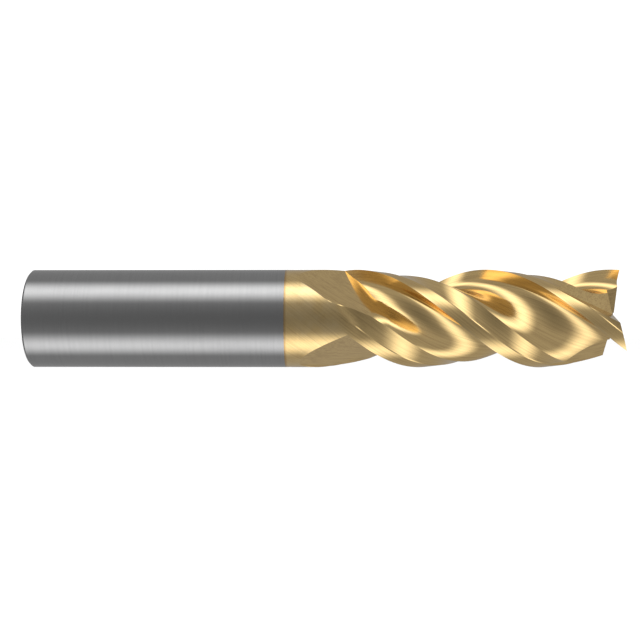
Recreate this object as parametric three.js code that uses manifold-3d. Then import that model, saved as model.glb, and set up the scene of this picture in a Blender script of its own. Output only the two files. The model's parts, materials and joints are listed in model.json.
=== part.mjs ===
// Solid carbide square end mill, 1/2 inch, three flutes, with a coated cutting end.
// Millimetres. The tool's axis is +X: the shank's back face is at x = 0 and the tip is at x = LENGTH.
// Angles are in degrees about +X, from +Y towards +Z. A right-hand helix turns that way as x grows.
import * as THREE from 'three';
import { mergeVertices } from 'three/addons/utils/BufferGeometryUtils.js';
import Module from 'manifold-3d';

const wasm = await Module();
wasm.setup();

// Driving dimensions
const DIAMETER = 12.7;
const LENGTH = 76.2;
const SHANK_CHAMFER = 0.25;
const COATING_START = 33.1;
const TIP_ANGLES = [99.7, 219.8, 343.5];   // where the cutting edges end at the tip, unequally spaced
const HELIX_ANGLE = 39.5;
const CORE_RADIUS = 3.4;
const FLUTE_AZIMUTH = 35;        // where the flute's flat back comes nearest the axis, past its edge
const RAKE = 10;
const FLUTE_FILLET = 1.2;
const HEEL = { radius: 5.55, angle: -44 };  // behind its cutting edge, where the flutes begin
const TIP_HEEL = { radius: 5.85, angle: -34 };
const RELIEF_EDGE = { radius: 6.03, angle: -18 };
const RUNOUT_START = 34.9;       // where the flute's floor leaves the round stock
const RUNOUT_SLOPE = 16.5;        // the floor's rise towards the shank
const FLOOR_TURN_END = 42.5;     // from here to the shank the floor no longer turns with the helix
const RUNOUT_HEEL_ANGLE = -22;
const BACK_WALL_WIDTH = 2.2;
const SECOND_RELIEF_START = 38.6;
const FIRST_RELIEF_START = 41.0;
const RELIEF_LEAD_IN = 3;
const NECK_END = 44.5;           // the run-out's end, where the teeth and the core begin
const WEB_GAP = 0.3;             // between the core and the teeth's roots
const ROOT_RADIUS = 3.55;
const CENTRE_RELIEF = { radius: 0.75, depth: 0.6 };
const DISH = 5;                  // the end edges fall towards the axis
const END_RELIEF = 15;
const GASH_STEEPNESS = 66;       // the gash's front face, from the end edge's plane
const GASH_BACK_TILT = 27;       // the gash's back face, towards the tip
const GASH_BACK_AZIMUTH = 3;     // past the end edge
const GASH_BACK_OFFSET = 0.25;   // from the axis at the tip

// Resolution
const ROUND_SEGMENTS = 72;
const TWIST_STEP = 1.1;
const CURVE_POINTS = 5;
const OUTSIDE_POINTS = 8;
const CLEAR = 1.3;               // cutters reach this many radii out
const PAST_HEEL = { angle: 6, drop: 0.25 };  // how far a relief's cutter runs on into the flute
const PROUD = 0.02;              // a relief's cutter before it touches the round stock

const RADIUS = DIAMETER / 2;
const LEAD = Math.PI * DIAMETER / Math.tan(THREE.MathUtils.degToRad(HELIX_ANGLE));
const TEETH = TIP_ANGLES.length;

const rad = THREE.MathUtils.degToRad;

// The direction square to the axis at an angle, and the one 90 degrees further round.
const outward = (angle) => new THREE.Vector3(0, Math.cos(rad(angle)), Math.sin(rad(angle)));
const onward = (angle) => outward(angle + 90);
const AXIAL = new THREE.Vector3(1, 0, 0);

const tipAngle = (tooth) => TIP_ANGLES[tooth];
const pitchAfter = (tooth) => (tipAngle((tooth + 1) % TEETH) - tipAngle(tooth) + 360) % 360;
const pitchBefore = (tooth) => pitchAfter((tooth + TEETH - 1) % TEETH);
const edgeAngle = (tooth, x) => tipAngle(tooth) - 360 * (LENGTH - x) / LEAD;

// A point in a cutting edge's own section: radius, and angle past the edge.
const polar = (radius, angle) =>
  new THREE.Vector2(radius * Math.cos(rad(angle)), radius * Math.sin(rad(angle)));

// --- Solids ---

function toSolid(geometry) {
  const bare = geometry.clone();
  bare.deleteAttribute('normal');
  bare.deleteAttribute('uv');
  const merged = mergeVertices(bare, 1e-5);
  return new wasm.Manifold(new wasm.Mesh({
    numProp: 3,
    vertProperties: new Float32Array(merged.attributes.position.array),
    triVerts: new Uint32Array(merged.index.array),
  }));
}

function toGeometry(solid) {
  const mesh = solid.getMesh();
  const geometry = new THREE.BufferGeometry();
  geometry.setAttribute('position', new THREE.BufferAttribute(mesh.vertProperties, 3));
  geometry.setIndex(new THREE.BufferAttribute(mesh.triVerts, 1));
  return geometry;
}

// A solid of revolution about the tool's axis, from [x, radius] pairs that start and end on it.
function turned(profile) {
  const points = profile.map(([x, radius]) => new THREE.Vector2(radius, x));
  const geometry = new THREE.LatheGeometry(points, ROUND_SEGMENTS);
  geometry.rotateZ(-Math.PI / 2);
  return toSolid(geometry);
}

const rod = (radius, start, end) => turned([[start, 0], [start, radius], [end, radius], [end, 0]]);

// A closed solid through rings of points: sectionAt(x) gives the section in the tooth's own frame.
function twisted(tooth, start, end, sectionAt) {
  const outlineAt = (x) => {
    const outline = sectionAt(x);
    return THREE.ShapeUtils.isClockWise(outline) ? outline.reverse() : outline;
  };
  const steps = Math.ceil((end - start) / TWIST_STEP);
  const positions = [];
  const index = [];
  let count = 0;
  for (let step = 0; step <= steps; step += 1) {
    const x = THREE.MathUtils.lerp(start, end, step / steps);
    const outline = outlineAt(x);
    const turn = new THREE.Vector2();
    count = outline.length;
    for (const point of outline) {
      turn.copy(point).rotateAround(new THREE.Vector2(), rad(edgeAngle(tooth, x)));
      positions.push(x, turn.x, turn.y);
    }
  }
  for (let step = 0; step < steps; step += 1) {
    for (let k = 0; k < count; k += 1) {
      const a = step * count + k;
      const b = step * count + (k + 1) % count;
      index.push(a, b, a + count, b, b + count, a + count);
    }
  }
  for (const [ring, x] of [[0, start], [steps, end]]) {
    for (const [a, b, c] of THREE.ShapeUtils.triangulateShape(outlineAt(x), [])) {
      const first = ring * count;
      if (ring === 0) index.push(first + a, first + c, first + b);
      else index.push(first + a, first + b, first + c);
    }
  }
  const geometry = new THREE.BufferGeometry();
  geometry.setAttribute('position', new THREE.Float32BufferAttribute(positions, 3));
  geometry.setIndex(index);
  return toSolid(geometry);
}

// A large block whose face passes through point, on the side that normal points to.
function halfSpace(point, normal) {
  const size = 4 * LENGTH;
  const block = new THREE.BoxGeometry(size, size, size);
  block.translate(0, 0, size / 2);
  const up = new THREE.Vector3(0, 0, 1);
  const turn = new THREE.Quaternion().setFromUnitVectors(up, normal.clone().normalize());
  block.applyQuaternion(turn);
  block.translate(point.x, point.y, point.z);
  return toSolid(block);
}

// Points round the outside, well clear of the tool, from one angle to another.
function aroundOutside(from, to) {
  const points = [];
  for (let k = 0; k <= OUTSIDE_POINTS; k += 1) {
    points.push(polar(CLEAR * RADIUS, THREE.MathUtils.lerp(from, to, k / OUTSIDE_POINTS)));
  }
  return points;
}

// --- Flutes and reliefs ---

// The heel's radius and its angle behind the cutting edge, at a place along the flutes.
function heelAt(x) {
  const share = THREE.MathUtils.clamp((x - NECK_END) / (LENGTH - NECK_END), 0, 1);
  return {
    radius: THREE.MathUtils.lerp(HEEL.radius, TIP_HEEL.radius, share),
    angle: THREE.MathUtils.lerp(HEEL.angle, TIP_HEEL.angle, share),
  };
}

// Where two lines meet, each given by a point and a direction.
function crossing(p, pWay, q, qWay) {
  const gap = q.clone().sub(p);
  return p.clone().addScaledVector(pWay, gap.cross(qWay) / pWay.cross(qWay));
}

// A flute's section past its own cutting edge: rake face, fillet, flat floor and hollow back wall up to
// the next tooth's heel. Towards the shank the floor keeps one direction and rises out of the round stock.
function fluteSection(tooth, x) {
  const floorTurn = Math.max(0, FLOOR_TURN_END - x) * 360 / LEAD;
  const floorAzimuth = FLUTE_AZIMUTH + floorTurn;
  const rise = Math.tan(rad(RUNOUT_SLOPE));
  const floorDepth = Math.max(CORE_RADIUS, RADIUS - (x - RUNOUT_START) * rise);
  const up = polar(1, floorAzimuth);
  const across = polar(1, floorAzimuth + 90);
  const place = (height, side) => up.clone().multiplyScalar(height).addScaledVector(across, side);

  const share = THREE.MathUtils.smoothstep(x, SECOND_RELIEF_START, NECK_END);
  const full = heelAt(x);
  const heel = polar(
    THREE.MathUtils.lerp(RADIUS, full.radius, share),
    pitchAfter(tooth) + THREE.MathUtils.lerp(RUNOUT_HEEL_ANGLE, full.angle, share),
  );
  const wallStart = place(floorDepth, heel.dot(across) - BACK_WALL_WIDTH);

  const edge = new THREE.Vector2(RADIUS, 0);
  const rakeWay = polar(-1, RAKE);
  const corner = crossing(edge, rakeWay, place(floorDepth, 0), across);
  const furthest = -Math.sqrt((CLEAR * RADIUS) ** 2 - floorDepth ** 2);
  const side = corner.dot(across);
  const open = side < furthest || floorTurn > 90 - FLUTE_AZIMUTH;
  const root = open ? place(floorDepth, furthest) : corner;
  const outer = open
    ? root.clone().multiplyScalar(CLEAR)
    : edge.clone().addScaledVector(rakeWay, -RADIUS);
  const rakeEnd = root.clone().addScaledVector(outer.clone().sub(root).normalize(), FLUTE_FILLET);
  const floorStart = root.clone().addScaledVector(across, FLUTE_FILLET);
  const beyond = heel.clone().addScaledVector(heel.clone().sub(wallStart).normalize(), RADIUS / 2);

  const shape = new THREE.Shape();
  shape.moveTo(outer.x, outer.y);
  shape.lineTo(rakeEnd.x, rakeEnd.y);
  shape.quadraticCurveTo(root.x, root.y, floorStart.x, floorStart.y);
  shape.lineTo(wallStart.x, wallStart.y);
  const bend = place(floorDepth, heel.dot(across) - BACK_WALL_WIDTH / 2);
  shape.quadraticCurveTo(bend.x, bend.y, heel.x, heel.y);
  shape.lineTo(beyond.x, beyond.y);
  return shape.getPoints(CURVE_POINTS);
}

// The section closed round the outside of the tool, with the same number of points at every x.
function fluteOutline(tooth, x) {
  const section = fluteSection(tooth, x);
  const from = THREE.MathUtils.radToDeg(section.at(-1).angle());
  const first = THREE.MathUtils.radToDeg(section[0].angle());
  const to = first > 180 ? first - 360 : first;
  const outside = [];
  for (let k = 0; k <= OUTSIDE_POINTS; k += 1) {
    outside.push(polar(2 * CLEAR * RADIUS, THREE.MathUtils.lerp(from, to, k / OUTSIDE_POINTS)));
  }
  return [...section, ...outside];
}

function fluteCutter(tooth) {
  return twisted(tooth, RUNOUT_START - 1, LENGTH + 2, (x) => fluteOutline(tooth, x));
}

// The two reliefs behind a cutting edge, each growing to its full depth over the lead-in.
function reliefCutter(tooth) {
  const leadIn = (x, start) => THREE.MathUtils.smoothstep(x, start, start + RELIEF_LEAD_IN);
  const depth = (radius, share) => THREE.MathUtils.lerp(RADIUS + PROUD, radius, share);
  const outlineAt = (x) => {
    const heel = heelAt(x);
    const past = heel.angle - PAST_HEEL.angle;
    return [
      polar(RADIUS + PROUD * (1 - leadIn(x, FIRST_RELIEF_START)), 0),
      ...aroundOutside(0, past),
      polar(depth(heel.radius - PAST_HEEL.drop, leadIn(x, SECOND_RELIEF_START)), past),
      polar(depth(heel.radius, leadIn(x, SECOND_RELIEF_START)), heel.angle),
      polar(depth(RELIEF_EDGE.radius, leadIn(x, FIRST_RELIEF_START)), RELIEF_EDGE.angle),
    ].reverse();
  };
  return twisted(tooth, SECOND_RELIEF_START, LENGTH + 2, outlineAt);
}

// --- The end ---

// The end cutting edge's direction, from the axis out to the corner.
function endEdge(tooth) {
  const along = outward(tipAngle(tooth)).multiplyScalar(Math.cos(rad(DISH)));
  along.x = Math.sin(rad(DISH));
  return along;
}

const TIP_CENTRE = new THREE.Vector3(LENGTH - RADIUS * Math.tan(rad(DISH)), 0, 0);

function towardsTip(normal) {
  return normal.x < 0 ? normal.negate() : normal;
}

// The gash is the notch in front of an end edge, between a steep front face and a long back face.
function gashCutter(tooth) {
  const steep = onward(tipAngle(tooth)).addScaledVector(AXIAL, -Math.tan(rad(GASH_STEEPNESS)));
  const front = towardsTip(endEdge(tooth).cross(steep));
  const backWay = outward(tipAngle(tooth) + GASH_BACK_AZIMUTH);
  const back = backWay.clone().multiplyScalar(Math.cos(rad(GASH_BACK_TILT)));
  back.x = Math.sin(rad(GASH_BACK_TILT));
  const seat = backWay.multiplyScalar(GASH_BACK_OFFSET).setX(LENGTH);
  return halfSpace(TIP_CENTRE, front).intersect(halfSpace(seat, back));
}

// The end face falls back behind its edge, as far as the plane of the edge before it.
function endReliefCutter(tooth) {
  const behind = onward(tipAngle(tooth)).negate().addScaledVector(AXIAL, -Math.tan(rad(END_RELIEF)));
  const face = towardsTip(endEdge(tooth).cross(behind));
  const axis = new THREE.Vector3();
  const wedge = halfSpace(axis, onward(tipAngle(tooth)).negate())
    .intersect(halfSpace(axis, onward(tipAngle(tooth) - pitchBefore(tooth))));
  return halfSpace(TIP_CENTRE, face).intersect(wedge);
}

// --- Sub-parts ---

function coatedEnd() {
  let solid = rod(RADIUS, COATING_START, LENGTH);
  for (let tooth = 0; tooth < TEETH; tooth += 1) {
    solid = solid.subtract(fluteCutter(tooth)).subtract(reliefCutter(tooth));
  }
  for (let tooth = 0; tooth < TEETH; tooth += 1) {
    solid = solid.subtract(gashCutter(tooth)).subtract(endReliefCutter(tooth));
  }
  return solid.subtract(rod(CENTRE_RELIEF.radius, LENGTH - CENTRE_RELIEF.depth, LENGTH + 1));
}

// One tooth's share of the coated end, outside the core, from mid-flute to mid-flute.
function toothRegion(tooth) {
  const from = FLUTE_AZIMUTH - pitchBefore(tooth);
  const inner = [];
  const steps = OUTSIDE_POINTS;
  for (let k = 0; k <= steps; k += 1) {
    inner.push(polar(ROOT_RADIUS, THREE.MathUtils.lerp(FLUTE_AZIMUTH, from, k / steps)));
  }
  const section = [...aroundOutside(from, FLUTE_AZIMUTH), ...inner];
  return twisted(tooth, NECK_END, LENGTH + 2, () => [...section]);
}

function shank() {
  const shoulder = RADIUS - SHANK_CHAMFER;
  return turned([
    [0, 0], [0, shoulder], [SHANK_CHAMFER, RADIUS], [COATING_START, RADIUS], [COATING_START, 0],
  ]);
}

const carbide = () => new THREE.MeshStandardMaterial({ color: 0x8c8c8e, roughness: 0.28, metalness: 1 });
const gold = () => new THREE.MeshStandardMaterial({ color: 0xc9a868, roughness: 0.25, metalness: 1 });

function named(name, solid, material) {
  const mesh = new THREE.Mesh(toGeometry(solid), material);
  mesh.name = name;
  return mesh;
}

const coated = coatedEnd();
const collar = coated.intersect(rod(CLEAR * RADIUS, COATING_START - 1, NECK_END));
const core = coated.intersect(rod(ROOT_RADIUS - WEB_GAP, NECK_END, LENGTH + 1));
const endMill = new THREE.Group();
endMill.add(named('shank', shank(), carbide()));
endMill.add(named('runout_collar', collar, gold()));
endMill.add(named('flute_core', core, gold()));
for (let tooth = 0; tooth < TEETH; tooth += 1) {
  endMill.add(named(`tooth_${tooth + 1}`, coated.intersect(toothRegion(tooth)), gold()));
}

export default endMill;
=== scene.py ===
"""End mill: a ground carbide shank and a gold-coated, three-flute cutting end, lying in a studio."""

import json
import math

import bmesh
import bpy
import numpy as np
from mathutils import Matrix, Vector

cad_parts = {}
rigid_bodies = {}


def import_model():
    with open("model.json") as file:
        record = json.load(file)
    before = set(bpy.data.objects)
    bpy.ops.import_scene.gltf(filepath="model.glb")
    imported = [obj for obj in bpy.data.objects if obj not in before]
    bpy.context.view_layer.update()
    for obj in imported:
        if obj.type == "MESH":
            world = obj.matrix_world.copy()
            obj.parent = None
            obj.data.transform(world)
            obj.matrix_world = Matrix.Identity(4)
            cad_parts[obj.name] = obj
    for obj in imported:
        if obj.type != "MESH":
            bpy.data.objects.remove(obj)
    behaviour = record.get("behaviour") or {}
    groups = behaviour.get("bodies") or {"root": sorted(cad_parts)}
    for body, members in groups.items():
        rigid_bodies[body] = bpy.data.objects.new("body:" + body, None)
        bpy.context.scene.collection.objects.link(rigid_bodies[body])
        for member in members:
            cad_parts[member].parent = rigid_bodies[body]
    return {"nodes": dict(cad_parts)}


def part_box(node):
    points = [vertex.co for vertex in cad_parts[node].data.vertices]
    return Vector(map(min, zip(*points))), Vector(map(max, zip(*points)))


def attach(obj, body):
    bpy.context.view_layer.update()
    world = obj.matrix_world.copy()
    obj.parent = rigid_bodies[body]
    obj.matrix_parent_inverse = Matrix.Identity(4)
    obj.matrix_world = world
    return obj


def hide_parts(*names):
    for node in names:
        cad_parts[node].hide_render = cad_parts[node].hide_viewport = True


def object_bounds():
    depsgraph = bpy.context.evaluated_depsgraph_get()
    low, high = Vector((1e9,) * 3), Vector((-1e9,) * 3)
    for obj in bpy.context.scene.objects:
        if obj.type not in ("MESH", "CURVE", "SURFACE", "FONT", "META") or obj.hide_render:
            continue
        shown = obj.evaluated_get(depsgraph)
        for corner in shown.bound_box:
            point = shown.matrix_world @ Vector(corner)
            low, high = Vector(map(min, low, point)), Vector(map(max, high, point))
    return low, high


for leftover in list(bpy.data.objects):      # Blender's start-up cube, lamp and camera
    bpy.data.objects.remove(leftover)
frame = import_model()
cad_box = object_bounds()

MM = 0.001

# The tool, in millimetres, from the frame's own parts
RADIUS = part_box("shank")[1].z / MM
LENGTH = cad_box[1].x / MM
COATING_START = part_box("shank")[1].x / MM
SHANK_CHAMFER = 0.25

# Flutes. Angles are in degrees about +X, from +Y towards +Z.
HELIX_ANGLE = 39.5
TURN = 360 * math.tan(math.radians(HELIX_ANGLE)) / (2 * math.pi * RADIUS)   # degrees per mm
TEETH = ((99.7, 244.0), (219.8, 3.5), (343.5, 124.0))   # tip angle, run-out flat's direction
CORE_RADIUS = 3.5
RAKE_END = (5.1, -1.5)            # radius, and angle past the cutting edge, where the straight rake face ends
BACK_START = (CORE_RADIUS, 27.0)  # the same for the deepest point of the flute
HEEL_NORMAL = 52.0                # the back's direction as it arrives at the heel
RUNOUT_START = 34.9               # x where the flute's flat floor leaves the round
RUNOUT_SLOPE = 0.297              # how far the floor sinks per mm
RUNOUT_END = 46.5                 # x where the flute has its full depth
RUNOUT_FADE = 3.0                 # length over which the two shapes are blended
STRIP = -18.0                     # crease between the two reliefs, from the cutting edge behind it
STRIP_WIDTH = 1.3
SECOND_START = 38.6               # x where the secondary relief begins
FIRST_START = 40.8                # x where the primary relief begins

# Guides along the tool, each a row of x and a row of values: the half width of the run-out's flat floor, the
# heel's angle past the cutting edge, and how far the heel lies below the outside
FLAT_EDGE = ((34.9, 36.0, 37.9, 41.1, 43.95, 46.5), (0.0, 1.35, 2.45, 2.41, 1.95, 1.58))
HEEL_ANGLE = ((34.9, 38.6, 41.8, 44.0, 46.4, 58.2, 76.2), (97.5, 98.6, 83.6, 75.5, 72.5, 77.5, 87.0))
HEEL_RADIUS = ((38.6, 41.8, 46.4, 50.0, 66.0, 74.0), (0.0, 0.25, 0.65, 0.8, 0.65, 0.40))

# Points across each part of a flute's section
COLUMNS = dict(margin=14, rake=24, flat=12, wall=24, second=12, first=12)


def smooth(x, start, end):
    t = min(1.0, max(0.0, (x - start) / (end - start)))
    return t * t * (3 - 2 * t)


def polar(radius, angle):
    a = np.radians(angle)
    return np.stack([radius * np.cos(a), radius * np.sin(a)], -1)


def resample(points, count):
    """The polyline with count points, evenly spaced along its length, ends kept."""
    gaps = np.linalg.norm(np.diff(points, axis=0), axis=1)
    along = np.concatenate([[0], np.cumsum(gaps)])
    want = np.linspace(0, along[-1], count)
    return np.stack([np.interp(want, along, points[:, k]) for k in range(2)], -1)


def bezier(a, b, c, d, count=60):
    t = np.linspace(0, 1, count)[:, None]
    return (1 - t) ** 3 * a + 3 * (1 - t) ** 2 * t * b + 3 * (1 - t) * t ** 2 * c + t ** 3 * d


def edge_angle(tooth, x):
    turns, index = divmod(tooth, len(TEETH))
    return TEETH[index][0] + 360 * turns - TURN * (LENGTH - x)


def rake_curve(angle):
    """The rake face and its fillet down to the flute's back, for a cutting edge at this angle."""
    edge = polar(RADIUS, angle)
    rake_end = polar(RAKE_END[0], angle + RAKE_END[1])
    back = polar(BACK_START[0], angle + BACK_START[1])
    way = (rake_end - edge) / np.linalg.norm(rake_end - edge)
    across = polar(1.0, angle + BACK_START[1] + 90)
    straight = np.linspace(edge, rake_end, 20)
    return np.concatenate([straight, bezier(rake_end, rake_end + way, back - 0.9 * across, back)[1:]])


def quadratic(a, bend, b, count):
    t = np.linspace(0, 1, count)[:, None]
    return (1 - t) ** 2 * a + 2 * (1 - t) * t * bend + t ** 2 * b


def full_flute(own, heel):
    """Rake face, fillet and back of the flute at its full depth; the back rolls over towards the heel."""
    n = COLUMNS
    rake = resample(rake_curve(own), n["rake"])
    flat = np.repeat(rake[-1:], n["flat"], 0)
    leaving = rake[-1] + 1.5 * polar(1.0, own + BACK_START[1] + 88)
    arriving = heel - 1.4 * polar(1.0, own + HEEL_NORMAL + 90)
    return rake, flat, resample(bezier(rake[-1], leaving, arriving, heel), n["wall"])


def runout_flute(own, x, azimuth, heel):
    """Rake face, flat floor and hollow wall where the flute runs out towards the shank."""
    n = COLUMNS
    height = RADIUS - RUNOUT_SLOPE * (x - RUNOUT_START)
    up, across = polar(1.0, azimuth), polar(1.0, azimuth + 90)
    half_open = math.degrees(math.acos(min(1.0, height / RADIUS)))
    if azimuth - half_open > own:
        rake = np.repeat(polar(RADIUS, azimuth - half_open)[None], n["rake"], 0)
    else:
        curve = rake_curve(own)
        above = curve @ up - height
        below = np.nonzero(above < 0)[0]
        last = below[0] if len(below) else len(curve) - 1
        share = above[last - 1] / (above[last - 1] - above[last]) if len(below) else 1.0
        corner = curve[last - 1] + share * (curve[last] - curve[last - 1])
        rake = resample(np.concatenate([curve[:last], corner[None]]), n["rake"])
    side = min(np.interp(x, *FLAT_EDGE), 0.75 * float(heel @ across))
    wall_start = height * up + side * across
    if float((wall_start - rake[-1]) @ across) < 0:
        wall_start = rake[-1]
    hollow = wall_start + 0.5 * float((heel - wall_start) @ across) * across
    return rake, np.linspace(rake[-1], wall_start, n["flat"]), quadratic(wall_start, hollow, heel, n["wall"])


def plain_round(azimuth):
    """No flute yet: every point of it gathered where the flute will begin."""
    start = polar(RADIUS, azimuth)[None]
    return [np.repeat(start, COLUMNS[part], 0) for part in ("rake", "flat", "wall")]


def flute_section(tooth, x):
    """Points round one flute and the land behind it, from one cutting edge to the next."""
    own = edge_angle(tooth, x)
    following = edge_angle(tooth + 1, x)
    pitch = following - own
    azimuth = TEETH[tooth][1]
    azimuth += 360 * round((own + 45 - azimuth) / 360)
    heel_angle = own + np.interp(x, *HEEL_ANGLE) * pitch / 120
    heel_radius = RADIUS - np.interp(x, *HEEL_RADIUS)
    n = COLUMNS
    if x <= RUNOUT_START:
        heel_angle = azimuth
        rake, flat, wall = plain_round(azimuth)
    elif x >= RUNOUT_END:
        rake, flat, wall = full_flute(own, polar(heel_radius, heel_angle))
    else:
        height = RADIUS - RUNOUT_SLOPE * (x - RUNOUT_START)
        widest = azimuth + math.degrees(math.acos(height / RADIUS))
        heel_angle = min(heel_angle, widest + 30 * smooth(x, 38.6, 44.0))
        heel = polar(heel_radius, heel_angle)
        rake, flat, wall = runout_flute(own, x, azimuth, heel)
        full = full_flute(own, heel)
        share = smooth(x, RUNOUT_END - RUNOUT_FADE, RUNOUT_END)
        rake, flat, wall = [(1 - share) * a + share * b for a, b in zip((rake, flat, wall), full)]

    lip_angle = math.degrees(math.atan2(rake[0][1], rake[0][0]))
    lip_angle += 360 * round((own - lip_angle) / 360)
    if lip_angle < own - 1e-6:
        lip_angle += 360
    margin = polar(RADIUS, np.linspace(own, lip_angle, n["margin"]))

    strip_start = max(following + STRIP, heel_angle + 0.35 * (following - heel_angle))
    second_share = smooth(x, SECOND_START, SECOND_START + 2.5)
    first_share = smooth(x, FIRST_START, FIRST_START + 2.0)
    crease_radius = RADIUS - 0.08 * second_share - 0.27 * first_share
    angles = np.linspace(heel_angle, strip_start, n["second"])
    round_land = polar(RADIUS, angles)
    straight = np.linspace(polar(heel_radius, heel_angle), polar(crease_radius, strip_start), n["second"])
    second = second_share * straight + (1 - second_share) * round_land
    second[0] = wall[-1]
    angles = np.linspace(strip_start + STRIP_WIDTH, following, n["first"])
    first = polar(np.linspace(crease_radius + 0.09 * first_share, RADIUS, n["first"]), angles)
    return np.concatenate([margin, rake[1:], flat[1:], wall[1:], second[1:], first[:-1]])


def coated_mesh(step=0.12, beyond=1.0):
    xs = np.linspace(COATING_START, LENGTH + beyond, round((LENGTH + beyond - COATING_START) / step) + 1)
    rings = []
    for x in xs:
        ring = np.concatenate([flute_section(tooth, x) for tooth in range(len(TEETH))])
        rings.append(np.concatenate([np.full((len(ring), 1), x), ring], 1))
    count = len(rings[0])
    verts = np.concatenate(rings)
    faces = []
    for r in range(len(xs) - 1):
        for k in range(count):
            a, b = r * count + k, r * count + (k + 1) % count
            faces.append((a, b, b + count, a + count))
    centre_back, centre_front = len(verts), len(verts) + 1
    verts = np.concatenate([verts, [[xs[0], 0, 0], [xs[-1], 0, 0]]])
    last = (len(xs) - 1) * count
    for k in range(count):
        faces.append((centre_back, (k + 1) % count, k))
        faces.append((centre_front, last + k, last + (k + 1) % count))
    return verts, faces


def mesh_object(name, verts, faces):
    mesh = bpy.data.meshes.new(name)
    mesh.from_pydata([tuple(float(c) * MM for c in v) for v in verts], [], faces)
    bm = bmesh.new()
    bm.from_mesh(mesh)
    bmesh.ops.remove_doubles(bm, verts=bm.verts, dist=0.002 * MM)
    bmesh.ops.dissolve_degenerate(bm, edges=bm.edges, dist=0.001 * MM)
    bmesh.ops.recalc_face_normals(bm, faces=bm.faces)
    bm.to_mesh(mesh)
    bm.free()
    obj = bpy.data.objects.new(name, mesh)
    bpy.context.scene.collection.objects.link(obj)
    return obj


verts, faces = coated_mesh()
coated = mesh_object("coated_cutting_end", verts, faces)


# --- The end of the tool ---

DISH = 5.0
END_RELIEF = 15.0
GASH_STEEPNESS = 66.0
GASH_BACK_TILT = 27.0
GASH_BACK_AZIMUTH = 3.0
GASH_BACK_OFFSET = 0.25
CENTRE_RELIEF = [(LENGTH - 0.6, 0), (LENGTH - 0.6, 0.75), (LENGTH + 1, 0.75), (LENGTH + 1, 0)]
X_AXIS = Vector((1, 0, 0))


def outward(angle):
    return Vector((0, math.cos(math.radians(angle)), math.sin(math.radians(angle))))


def clipped_block(planes, size=60.0):
    """A big block cut by planes, each (point, normal towards the side that stays), in millimetres."""
    bm = bmesh.new()
    bmesh.ops.create_cube(bm, size=size)
    bmesh.ops.translate(bm, verts=bm.verts, vec=(LENGTH, 0, 0))
    for point, normal in planes:
        parts = bm.verts[:] + bm.edges[:] + bm.faces[:]
        bmesh.ops.bisect_plane(bm, geom=parts, plane_co=point, plane_no=normal, clear_inner=True)
        bmesh.ops.holes_fill(bm, edges=[e for e in bm.edges if e.is_boundary])
    bmesh.ops.recalc_face_normals(bm, faces=bm.faces)
    bmesh.ops.scale(bm, verts=bm.verts, vec=(MM, MM, MM))
    mesh = bpy.data.meshes.new("cutter")
    bm.to_mesh(mesh)
    bm.free()
    obj = bpy.data.objects.new("cutter", mesh)
    bpy.context.scene.collection.objects.link(obj)
    return obj


def subtract(obj, cutter):
    cut = obj.modifiers.new("cut", "BOOLEAN")
    cut.operation = "DIFFERENCE"
    cut.solver = "MANIFOLD"
    cut.object = cutter
    evaluated = obj.evaluated_get(bpy.context.evaluated_depsgraph_get())
    made = bpy.data.meshes.new_from_object(evaluated)
    made.materials.clear()
    made.polygons.foreach_set("material_index", [0] * len(made.polygons))
    obj.modifiers.clear()
    obj.data = made
    bpy.data.objects.remove(cutter)


TIP_CENTRE = Vector((LENGTH - RADIUS * math.tan(math.radians(DISH)), 0, 0))


def end_edge(angle):
    return outward(angle) * math.cos(math.radians(DISH)) + X_AXIS * math.sin(math.radians(DISH))


def towards_tip(normal):
    return normal if normal.x > 0 else -normal


def gash_planes(angle):
    steep = outward(angle + 90) - X_AXIS * math.tan(math.radians(GASH_STEEPNESS))
    front = towards_tip(end_edge(angle).cross(steep))
    tilt = math.radians(GASH_BACK_TILT)
    back = outward(angle + GASH_BACK_AZIMUTH) * math.cos(tilt) + X_AXIS * math.sin(tilt)
    seat = Vector((LENGTH, 0, 0)) + outward(angle + GASH_BACK_AZIMUTH) * GASH_BACK_OFFSET
    return [(TIP_CENTRE, front), (seat, back)]


def end_relief_planes(angle, previous):
    behind = outward(angle - 90) - X_AXIS * math.tan(math.radians(END_RELIEF))
    face = towards_tip(end_edge(angle).cross(behind))
    return [(TIP_CENTRE, face), (Vector(), outward(angle - 90)), (Vector(), outward(previous + 90))]


subtract(coated, clipped_block([(Vector((LENGTH, 0, 0)), X_AXIS)]))
for tooth, (tip_angle, _) in enumerate(TEETH):
    subtract(coated, clipped_block(gash_planes(tip_angle)))
    subtract(coated, clipped_block(end_relief_planes(tip_angle, TEETH[tooth - 1][0])))


def turned_mesh(name, profile, segments=256):
    """A solid of revolution about X from (x, radius) pairs; the first and last lie on the axis."""
    verts = [(profile[0][0], 0, 0)]
    ring_profile = profile[1:-1]
    for x, radius in ring_profile:
        for k in range(segments):
            a = 2 * math.pi * k / segments
            verts.append((x, radius * math.cos(a), radius * math.sin(a)))
    verts.append((profile[-1][0], 0, 0))
    last = len(verts) - 1
    faces = [(0, 1 + (k + 1) % segments, 1 + k) for k in range(segments)]
    for r in range(len(ring_profile) - 1):
        for k in range(segments):
            a = 1 + r * segments + k
            b = 1 + r * segments + (k + 1) % segments
            faces.append((a, b, b + segments, a + segments))
    base = 1 + (len(ring_profile) - 1) * segments
    faces += [(last, base + k, base + (k + 1) % segments) for k in range(segments)]
    return mesh_object(name, verts, faces)


subtract(coated, turned_mesh("centre_relief", CENTRE_RELIEF, 64))


def shank_profile():
    c = SHANK_CHAMFER
    side = [(x, RADIUS) for x in np.linspace(c, COATING_START, 12)]
    return [(0, 0), (0, RADIUS - c), *side, (COATING_START, 0)]


shank = turned_mesh("bare_shank", shank_profile())


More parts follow.
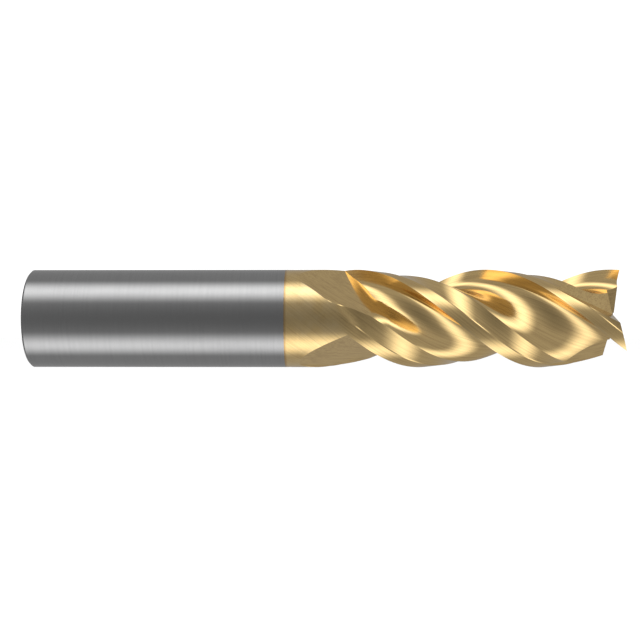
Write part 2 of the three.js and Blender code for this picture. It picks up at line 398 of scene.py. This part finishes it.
def shade(obj, degrees):
    """Smooth shading, kept sharp where two faces meet at more than this angle."""
    bm = bmesh.new()
    bm.from_mesh(obj.data)
    limit = math.radians(degrees)
    for face in bm.faces:
        face.smooth = True
    for edge in bm.edges:
        edge.smooth = edge.is_manifold and edge.calc_face_angle(0) < limit
    bm.to_mesh(obj.data)
    bm.free()


shade(coated, 8)
shade(shank, 20)


# --- Materials ---

def material(name, colour, roughness, metallic=1.0):
    mat = bpy.data.materials.new(name)
    mat.use_nodes = True
    shader = mat.node_tree.nodes["Principled BSDF"]
    shader.inputs["Base Color"].default_value = (*colour, 1)
    shader.inputs["Metallic"].default_value = metallic
    shader.inputs["Roughness"].default_value = roughness
    return mat


def add(tree, kind, **settings):
    node = tree.nodes.new("ShaderNode" + kind)
    for key, value in settings.items():
        setattr(node, key, value)
    return node


def math_node(tree, operation, *inputs):
    node = add(tree, "Math", operation=operation)
    for socket, value in zip(node.inputs, inputs):
        if isinstance(value, (int, float)):
            socket.default_value = value
        else:
            tree.links.new(value, socket)
    return node.outputs[0]


def stretched_noise(tree, vector, scales, detail, roughness=0.6):
    """Noise whose cells are 1/scale metres long in each of the vector's directions."""
    stretch = add(tree, "VectorMath", operation="MULTIPLY")
    stretch.inputs[1].default_value = scales
    tree.links.new(vector, stretch.inputs[0])
    noise = add(tree, "TexNoise")
    noise.inputs["Scale"].default_value = 1.0
    noise.inputs["Detail"].default_value = detail
    noise.inputs["Roughness"].default_value = roughness
    tree.links.new(stretch.outputs[0], noise.inputs["Vector"])
    return noise.outputs["Fac"]


def remap(tree, value, low, high, to_low, to_high):
    node = add(tree, "MapRange")
    tree.links.new(value, node.inputs["Value"])
    for name, number in (("From Min", low), ("From Max", high), ("To Min", to_low), ("To Max", to_high)):
        node.inputs[name].default_value = number
    return node.outputs["Result"]


def tint(tree, share, first, second):
    """One colour blended into another; either may be a colour or a socket."""
    node = add(tree, "Mix", data_type="RGBA")
    tree.links.new(share, node.inputs[0])
    for socket, colour in ((node.inputs[6], first), (node.inputs[7], second)):
        if isinstance(colour, tuple):
            socket.default_value = (*colour, 1)
        else:
            tree.links.new(colour, socket)
    return node.outputs[2]


def bump(tree, height, distance, strength):
    node = add(tree, "Bump")
    node.inputs["Distance"].default_value = distance
    node.inputs["Strength"].default_value = strength
    tree.links.new(height, node.inputs["Height"])
    return node.outputs["Normal"]


GOLD = (0.97, 0.70, 0.32)
GOLD_DEEP = (0.58, 0.385, 0.175)
GOLD_WORN = (0.96, 0.75, 0.42)
HEAT_TINT = (0.42, 0.25, 0.11)
CARBIDE = (0.45, 0.45, 0.45)
CARBIDE_DULL = (0.36, 0.36, 0.365)
# Near-black colour painted on the shank's chamfered end as shade
CARBIDE_PAINTED_SHADE = (0.10, 0.10, 0.10)


def gold_nitride():
    """Titanium nitride over helical grinding lines, worn a little on the outermost edges."""
    mat = material("gold_nitride", GOLD, 0.16)
    tree = mat.node_tree
    shader = tree.nodes["Principled BSDF"]
    place = add(tree, "TexCoord").outputs["Object"]
    axes = add(tree, "SeparateXYZ")
    tree.links.new(place, axes.inputs[0])
    untwist = add(tree, "VectorRotate", rotation_type="X_AXIS")
    tree.links.new(place, untwist.inputs["Vector"])
    turned_by = math_node(tree, "MULTIPLY", axes.outputs["X"], -math.radians(TURN) / MM)
    tree.links.new(turned_by, untwist.inputs["Angle"])
    lines = stretched_noise(tree, untwist.outputs[0], (90, 5200, 5200), 3, 0.65)
    bands = stretched_noise(tree, untwist.outputs[0], (45, 1100, 1100), 2)
    patches = stretched_noise(tree, place, (260, 260, 260), 3)

    streak = remap(tree, lines, 0.45, 0.68, 0.0, 0.45)
    colour = tint(tree, streak, GOLD, GOLD_DEEP)
    colour = tint(tree, remap(tree, bands, 0.5, 0.75, 0.0, 0.35), colour, GOLD_DEEP)
    y_squared = math_node(tree, "MULTIPLY", axes.outputs["Y"], axes.outputs["Y"])
    squared = math_node(tree, "MULTIPLY_ADD", axes.outputs["Z"], axes.outputs["Z"], y_squared)
    from_axis = math_node(tree, "SQRT", squared)
    at_edge = remap(tree, from_axis, (RADIUS - 0.06) * MM, RADIUS * MM, 0.0, 1.0)
    worn = math_node(tree, "MULTIPLY", at_edge, remap(tree, patches, 0.45, 0.65, 0.0, 0.6))
    colour = tint(tree, worn, colour, GOLD_WORN)
    at_start = remap(tree, axes.outputs["X"], COATING_START * MM, (COATING_START + 0.35) * MM, 0.75, 0.0)
    colour = tint(tree, at_start, colour, HEAT_TINT)
    tree.links.new(colour, shader.inputs["Base Color"])
    tree.links.new(remap(tree, patches, 0.3, 0.7, 0.10, 0.15), shader.inputs["Roughness"])
    tree.links.new(bump(tree, lines, 0.000008, 0.1), shader.inputs["Normal"])
    return mat


def ground_carbide():
    """Centreless-ground carbide: very fine rings round the shank and faint smudges from handling, with
    painted shade darkening the chamfered end.
    """
    mat = material("ground_carbide", CARBIDE, 0.12)
    tree = mat.node_tree
    shader = tree.nodes["Principled BSDF"]
    place = add(tree, "TexCoord").outputs["Object"]
    rings = stretched_noise(tree, place, (9000, 160, 160), 3)
    smudges = stretched_noise(tree, place, (90, 240, 240), 4)
    colour = tint(tree, remap(tree, rings, 0.4, 0.7, 0.0, 0.35), CARBIDE, CARBIDE_DULL)
    colour = tint(tree, remap(tree, smudges, 0.5, 0.75, 0.0, 0.35), colour, CARBIDE_DULL)
    axes = add(tree, "SeparateXYZ")
    tree.links.new(place, axes.inputs[0])
    # Painted shade: the chamfered end is darkened nearly to black in the colour, standing in for the dark
    # reflection on the chamfer.
    at_edge = remap(tree, axes.outputs["X"], 0.0, SHANK_CHAMFER * 1.4 * MM, 0.8, 0.0)
    colour = tint(tree, at_edge, colour, CARBIDE_PAINTED_SHADE)
    tree.links.new(colour, shader.inputs["Base Color"])
    tree.links.new(remap(tree, smudges, 0.35, 0.7, 0.10, 0.16), shader.inputs["Roughness"])
    tree.links.new(bump(tree, rings, 0.000006, 0.12), shader.inputs["Normal"])
    return mat


coated.data.materials.append(gold_nitride())
shank.data.materials.append(ground_carbide())

for piece, slot_name, nodes in (
    (coated, "gold_coating", [n for n in frame["nodes"] if n != "shank"]),
    (shank, "ground_carbide", ["shank"]),
):
    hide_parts(*nodes)
    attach(piece, "root")


# --- Studio ---

CAMERA_DISTANCE = 150.2
CAMERA_X = 40.5
AIM = Vector((37.56, 0, -0.2))
LENS = 64.75

camera_data = bpy.data.cameras.new("camera")
camera_data.lens = LENS
camera_data.sensor_width = 36
camera = bpy.data.objects.new("camera", camera_data)
camera.location = Vector((CAMERA_X, -CAMERA_DISTANCE, 0)) * MM
camera.rotation_mode = "QUATERNION"
camera.rotation_quaternion = (AIM * MM - camera.location).to_track_quat("-Z", "Y")
camera_data.clip_start = 0.001
bpy.context.scene.collection.objects.link(camera)
bpy.context.scene.camera = camera

floor_mesh = bpy.data.meshes.new("floor")
FLOOR_HALF = 2.0    # metres
FLOOR_GAP = 30.0    # below the tool, in mm
FLOOR_Z = -(RADIUS + FLOOR_GAP) * MM
corners = [(x * FLOOR_HALF, y * FLOOR_HALF, FLOOR_Z) for x, y in ((-1, -1), (1, -1), (1, 1), (-1, 1))]
floor_mesh.from_pydata(corners, [], [(0, 1, 2, 3)])
floor = bpy.data.objects.new("floor", floor_mesh)
bpy.context.scene.collection.objects.link(floor)
floor_mesh.materials.append(material("paper", (0.9, 0.9, 0.9), 0.9, 0.0))

# A grey room, darker behind the camera, with two soft banks of light along the tool: one high and one low.
# Angles go round the tool, from the camera's side (0) to overhead (90). Paper and background are lit evenly.
ROOM = 0.34
BEHIND_CAMERA = 0.18
PAPER_LIGHT = 1.15
HIGH_BANK = (68, 34, 1.3)   # middle and half width in degrees, and brightness added to the room's
LOW_BANK = (-66, 36, 1.0)

world = bpy.data.worlds.new("studio")
bpy.context.scene.world = world
world.use_nodes = True
tree = world.node_tree
background = tree.nodes["Background"]
direction = add(tree, "SeparateXYZ")
tree.links.new(add(tree, "TexCoord").outputs["Generated"], direction.inputs[0])
forward = math_node(tree, "MULTIPLY", direction.outputs["Y"], -1.0)
room = remap(tree, forward, 0.75, 1.0, ROOM, BEHIND_CAMERA)
angle = math_node(tree, "ARCTAN2", direction.outputs["Z"], forward)
for middle, half_width, brightness in (HIGH_BANK, LOW_BANK):
    away = math_node(tree, "ABSOLUTE", math_node(tree, "SUBTRACT", angle, math.radians(middle)))
    bank = add(tree, "MapRange", interpolation_type="SMOOTHSTEP")
    tree.links.new(away, bank.inputs["Value"])
    bank.inputs["From Max"].default_value = math.radians(half_width)
    bank.inputs["To Min"].default_value = brightness
    bank.inputs["To Max"].default_value = 0.0
    room = math_node(tree, "ADD", room, bank.outputs["Result"])
lit = add(tree, "Mix")
lit.inputs["A"].default_value = PAPER_LIGHT
tree.links.new(add(tree, "LightPath").outputs["Is Glossy Ray"], lit.inputs["Factor"])
tree.links.new(room, lit.inputs["B"])
tree.links.new(lit.outputs["Result"], background.inputs["Strength"])
background.inputs["Color"].default_value = (1, 1, 1, 1)
floor.visible_glossy = False
floor.visible_shadow = False
bpy.context.scene.view_settings.view_transform = "Standard"


def area_light(name, location, target, size, power):
    data = bpy.data.lights.new(name, "AREA")
    data.shape = "RECTANGLE"
    data.size, data.size_y = size
    data.energy = power
    obj = bpy.data.objects.new(name, data)
    obj.location = location
    obj.rotation_mode = "QUATERNION"
    obj.rotation_quaternion = (Vector(target) - Vector(location)).to_track_quat("-Z", "Y")
    bpy.context.scene.collection.objects.link(obj)
    return obj


overhead = area_light("overhead", (0.04, -0.15, 0.35), (0.04, 0, 0), (0.6, 0.2), 1.0)
overhead.visible_glossy = False
